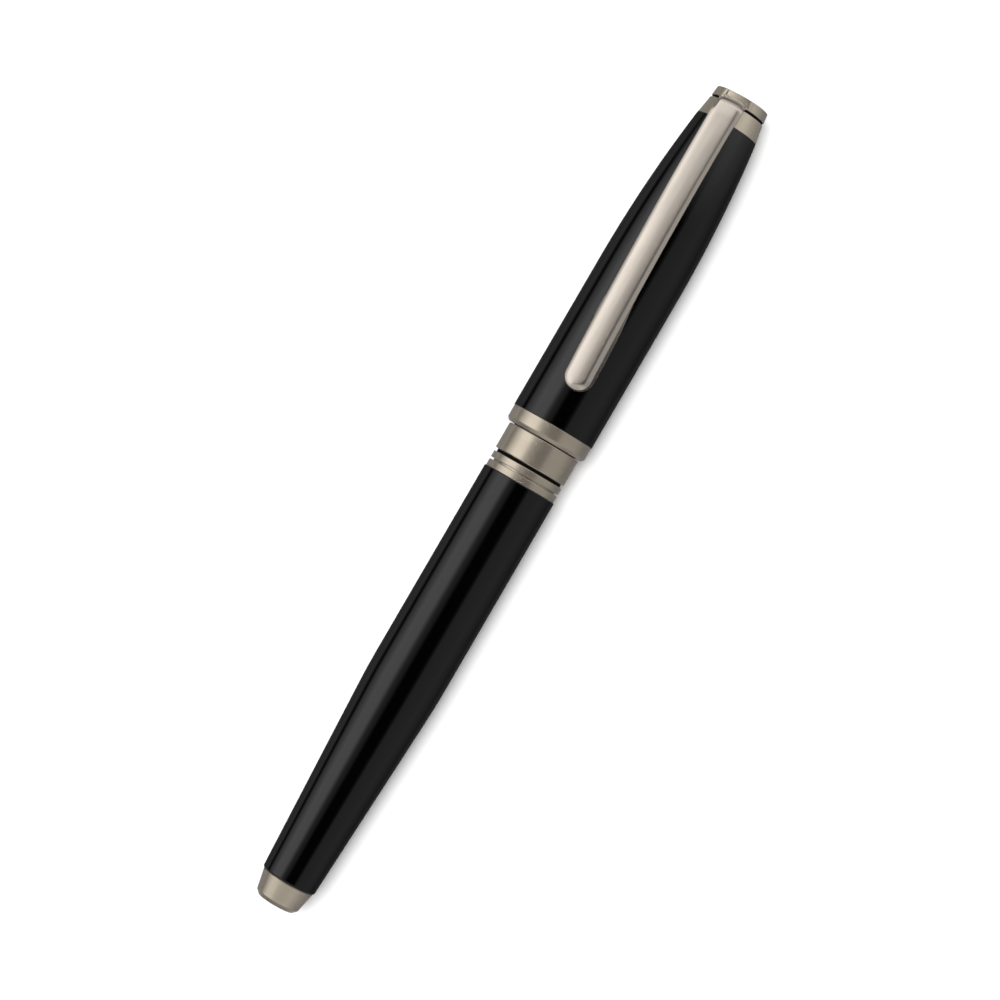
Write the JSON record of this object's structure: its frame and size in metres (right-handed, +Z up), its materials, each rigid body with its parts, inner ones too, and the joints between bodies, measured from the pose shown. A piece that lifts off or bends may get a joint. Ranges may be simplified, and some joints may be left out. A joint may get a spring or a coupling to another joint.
{
  "type": "rollerball pen",
  "caption": "Capped rollerball pen: lacquered tapered barrel and pull-off cap with satin metal rings, a sprung pocket clip, a screw-in grip section and a replaceable sprung refill.",
  "frame": {"origin": "on the plane that the cap rests on, straight below the middle of the pen's length", "axes": "+X along the pen towards the cap's finial, +Z up through the clip, +Y across; the pen's axis runs at z = 6.6 mm"},
  "size_m": [0.137, 0.0132, 0.0155],
  "materials": {
    "black_lacquer": "high gloss lacquer",
    "satin_gunmetal": "satin",
    "brass": "machined",
    "black_resin": "gloss",
    "black_washer": "matt",
    "cap_liner_plastic": "satin",
    "spring_steel": "drawn",
    "refill_metal": "satin",
    "refill_plastic": "moulded",
    "ink_fibre": "ink-soaked fibre",
    "point_steel": "bright",
    "ball_carbide": "polished"
  },
  "bodies": {
    "barrel": {"barrel_shell": "black_lacquer", "barrel_trim_ring": "satin_gunmetal", "barrel_bushing": "brass", "tail_cap": "satin_gunmetal", "refill_spring": "spring_steel"},
    "thread_carriage": {"shoulder_washer": "black_washer"},
    "section": {"section_connector": "brass", "section_band": "satin_gunmetal", "section_grip": "black_resin", "section_nose": "satin_gunmetal"},
    "clutch": {"clutch_ring": "spring_steel"},
    "refill": {"refill_tube": "refill_metal", "refill_end_plug": "refill_plastic", "refill_reservoir": "ink_fibre", "refill_feed": "ink_fibre", "refill_front": "refill_plastic", "refill_point": "point_steel"},
    "point_ball": {"refill_ball": "ball_carbide"},
    "cap": {"cap_shell": "black_lacquer", "cap_lip_ring": "satin_gunmetal", "cap_liner": "cap_liner_plastic", "cap_top_ring": "satin_gunmetal", "cap_spacer": "black_washer", "clip_collar": "spring_steel", "cap_finial": "satin_gunmetal", "finial_screw": "spring_steel"},
    "clip": {"clip": "satin_gunmetal"}
  },
  "joints": [
    {"name": "section_travel", "type": "slide", "parent": "barrel", "child": "thread_carriage", "axis": [1, 0, 0], "range_m": [0, 0.0045]},
    {"name": "section_turn", "type": "hinge", "parent": "thread_carriage", "child": "section", "pos_m": [0.008, 0, 0.0066], "axis": [1, 0, 0], "range_deg": [0, 2160]},
    {"name": "refill_float", "type": "slide", "parent": "section", "child": "refill", "axis": [-1, 0, 0], "range_m": [0, 0.001], "stiffness_N_per_m": 400, "deforming": ["refill_spring"]},
    {"name": "ball_roll", "type": "hinge", "parent": "refill", "child": "point_ball", "pos_m": [0.05162, 0, 0.0066], "axis": [0, 1, 0], "continuous": true},
    {"name": "cap_turn", "type": "hinge", "parent": "section", "child": "clutch", "pos_m": [0.0142, 0, 0.0066], "axis": [1, 0, 0], "continuous": true},
    {"name": "cap_pull", "type": "slide", "parent": "clutch", "child": "cap", "axis": [1, 0, 0], "range_m": [0, 0.052]},
    {"name": "clip_flex", "type": "hinge", "parent": "cap", "child": "clip", "pos_m": [0.0668, 0, 0.0096], "axis": [0, 1, 0], "range_deg": [0, 3], "stiffness_Nm_per_rad": 5}
  ],
  "couplings": [
    {"joint": "section_turn", "follows": "section_travel", "rad_per_m": 8377.6}
  ]
}
